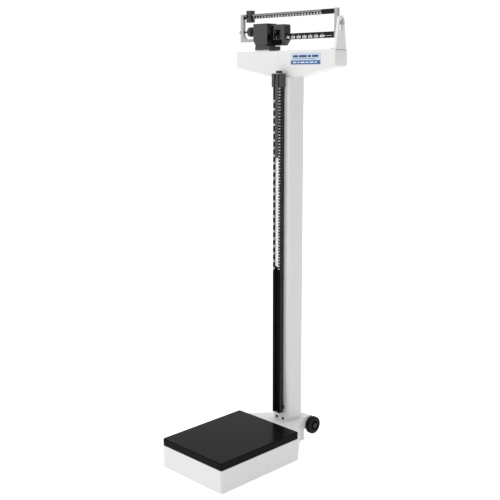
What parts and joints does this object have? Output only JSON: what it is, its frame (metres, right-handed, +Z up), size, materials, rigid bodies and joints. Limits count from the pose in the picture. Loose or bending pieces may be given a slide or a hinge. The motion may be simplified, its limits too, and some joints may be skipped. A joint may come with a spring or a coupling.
{
  "type": "physician beam scale",
  "caption": "Upright physician beam scale: low platform on a wheeled base, tall column, head with sliding poise beam, and a telescopic height rod with folding headpiece.",
  "frame": {"origin": "on the floor, at the middle of the whole scale's box", "axes": "+Z up; +X to the right of a user who faces the column; +Y from the platform towards the column"},
  "size_m": [0.456, 0.56, 1.492],
  "materials": {
    "white_paint": "smooth white powder coat",
    "scale_face": "white lacquer with printed graduations",
    "cast_iron": "painted cast iron",
    "plated_steel": "zinc plated",
    "steel": "bright steel",
    "foot_rubber": "matte",
    "mat_rubber": "smooth, slightly glossy",
    "tyre_rubber": "matte",
    "hub_plastic": "satin",
    "black_screws": "black oxide",
    "label_face": "satin printed plate",
    "black_plastic": "satin moulded",
    "beam_black": "black enamel with white graduations",
    "silver_cast": "satin die cast",
    "poise_black": "satin black enamel",
    "rod_black": "satin black enamel"
  },
  "bodies": {
    "stand": {"base_shell": "white_paint", "base_pan": "cast_iron", "foot_pads": "foot_rubber", "foot_screws": "steel", "lever_bearings": "cast_iron", "wheel_bracket": "white_paint", "axle": "steel", "axle_clips": "steel", "transfer_bearing": "cast_iron", "column_tube": "white_paint", "column_foot": "steel", "column_screws": "black_screws", "column_cap": "white_paint", "head_housing": "white_paint", "head_rear_cover": "white_paint", "head_cover_screws": "steel", "label_plate": "label_face", "trig_post": "white_paint", "trig_screws": "steel", "fulcrum_base": "black_plastic", "fulcrum_stand": "steel", "fulcrum_cover": "black_plastic", "fulcrum_cover_screws": "steel", "rod_channel": "rod_black", "rod_scale_plates": "rod_black", "rod_brackets": "rod_black", "rod_sleeve": "rod_black"},
    "platform": {"platform_plate": "plated_steel", "platform_posts": "cast_iron", "platform_mat": "mat_rubber"},
    "lever_long": {"long_lever": "cast_iron", "long_lever_knives": "steel"},
    "lever_short": {"short_lever": "cast_iron", "short_lever_knives": "steel"},
    "steelyard": {"steelyard_rod": "steel", "steelyard_hooks": "steel"},
    "lever_transfer": {"transfer_lever": "cast_iron", "transfer_knives": "steel"},
    "link": {"beam_link": "steel"},
    "beam": {"upper_bar": "beam_black", "lower_bar": "beam_black", "left_upright": "silver_cast", "right_upright": "silver_cast", "beam_pointer": "silver_cast", "beam_knives": "steel", "balance_screw": "black_screws", "balance_nut": "silver_cast"},
    "trim_weight": {"balance_weight": "poise_black"},
    "small_poise": {"upper_poise": "poise_black"},
    "large_poise": {"lower_poise": "poise_black", "lower_poise_latch": "poise_black"},
    "rod_slider": {"inner_rod": "scale_face", "rod_head": "rod_black", "headpiece_pin": "steel"},
    "headpiece": {"headpiece_arm": "rod_black"},
    "wheel_left": {"left_tyre": "tyre_rubber", "left_hub": "hub_plastic"},
    "wheel_right": {"right_tyre": "tyre_rubber", "right_hub": "hub_plastic"}
  },
  "joints": [
    {"name": "beam_tilt", "type": "hinge", "parent": "stand", "child": "beam", "pos_m": [-0.1, 0.174, 1.4], "axis": [0, 1, 0], "range_deg": [-0.8, 2.9]},
    {"name": "beam_link_travel", "type": "slide", "parent": "stand", "child": "link", "axis": [0, 0, 1], "range_m": [-0.0004, 0.0013]},
    {"name": "transfer_lever_tilt", "type": "hinge", "parent": "stand", "child": "lever_transfer", "pos_m": [0.1, 0.174, 1.32], "axis": [0, 1, 0], "range_deg": [-0.1, 0.33]},
    {"name": "steelyard_travel", "type": "slide", "parent": "stand", "child": "steelyard", "axis": [0, 0, 1], "range_m": [-0.0002, 0.0006]},
    {"name": "long_lever_tilt", "type": "hinge", "parent": "stand", "child": "lever_long", "pos_m": [0, -0.23, 0.034], "axis": [1, 0, 0], "range_deg": [-0.03, 0.09]},
    {"name": "short_lever_tilt", "type": "hinge", "parent": "stand", "child": "lever_short", "pos_m": [0, 0.05, 0.051], "axis": [1, 0, 0], "range_deg": [-0.09, 0.03]},
    {"name": "platform_travel", "type": "slide", "parent": "stand", "child": "platform", "axis": [0, 0, 1], "range_m": [-0.00002, 0.00005]},
    {"name": "small_poise_slide", "type": "slide", "parent": "beam", "child": "small_poise", "axis": [1, 0, 0], "range_m": [0, 0.32]},
    {"name": "large_poise_slide", "type": "slide", "parent": "beam", "child": "large_poise", "axis": [1, 0, 0], "range_m": [0, 0.1976]},
    {"name": "trim_weight_slide", "type": "slide", "parent": "beam", "child": "trim_weight", "axis": [1, 0, 0], "range_m": [-0.004, 0.012]},
    {"name": "height_rod_slide", "type": "slide", "parent": "stand", "child": "rod_slider", "axis": [0, 0, 1], "range_m": [0, 0.5]},
    {"name": "headpiece_fold", "type": "hinge", "parent": "rod_slider", "child": "headpiece", "pos_m": [0, 0.116, 1.277], "axis": [-1, 0, 0], "range_deg": [0, 90]},
    {"name": "left_wheel_spin", "type": "hinge", "parent": "stand", "child": "wheel_left", "pos_m": [-0.05475, 0.249, 0.0505], "axis": [1, 0, 0], "continuous": true},
    {"name": "right_wheel_spin", "type": "hinge", "parent": "stand", "child": "wheel_right", "pos_m": [0.05475, 0.249, 0.0505], "axis": [1, 0, 0], "continuous": true}
  ],
  "couplings": [
    {"joint": "beam_link_travel", "follows": "beam_tilt", "m_per_rad": 0.024},
    {"joint": "transfer_lever_tilt", "follows": "beam_tilt", "ratio": 0.10714},
    {"joint": "steelyard_travel", "follows": "beam_tilt", "m_per_rad": 0.010714},
    {"joint": "long_lever_tilt", "follows": "beam_tilt", "ratio": 0.026521},
    {"joint": "short_lever_tilt", "follows": "beam_tilt", "ratio": -0.026521},
    {"joint": "platform_travel", "follows": "beam_tilt", "m_per_rad": 0.00079562}
  ]
}
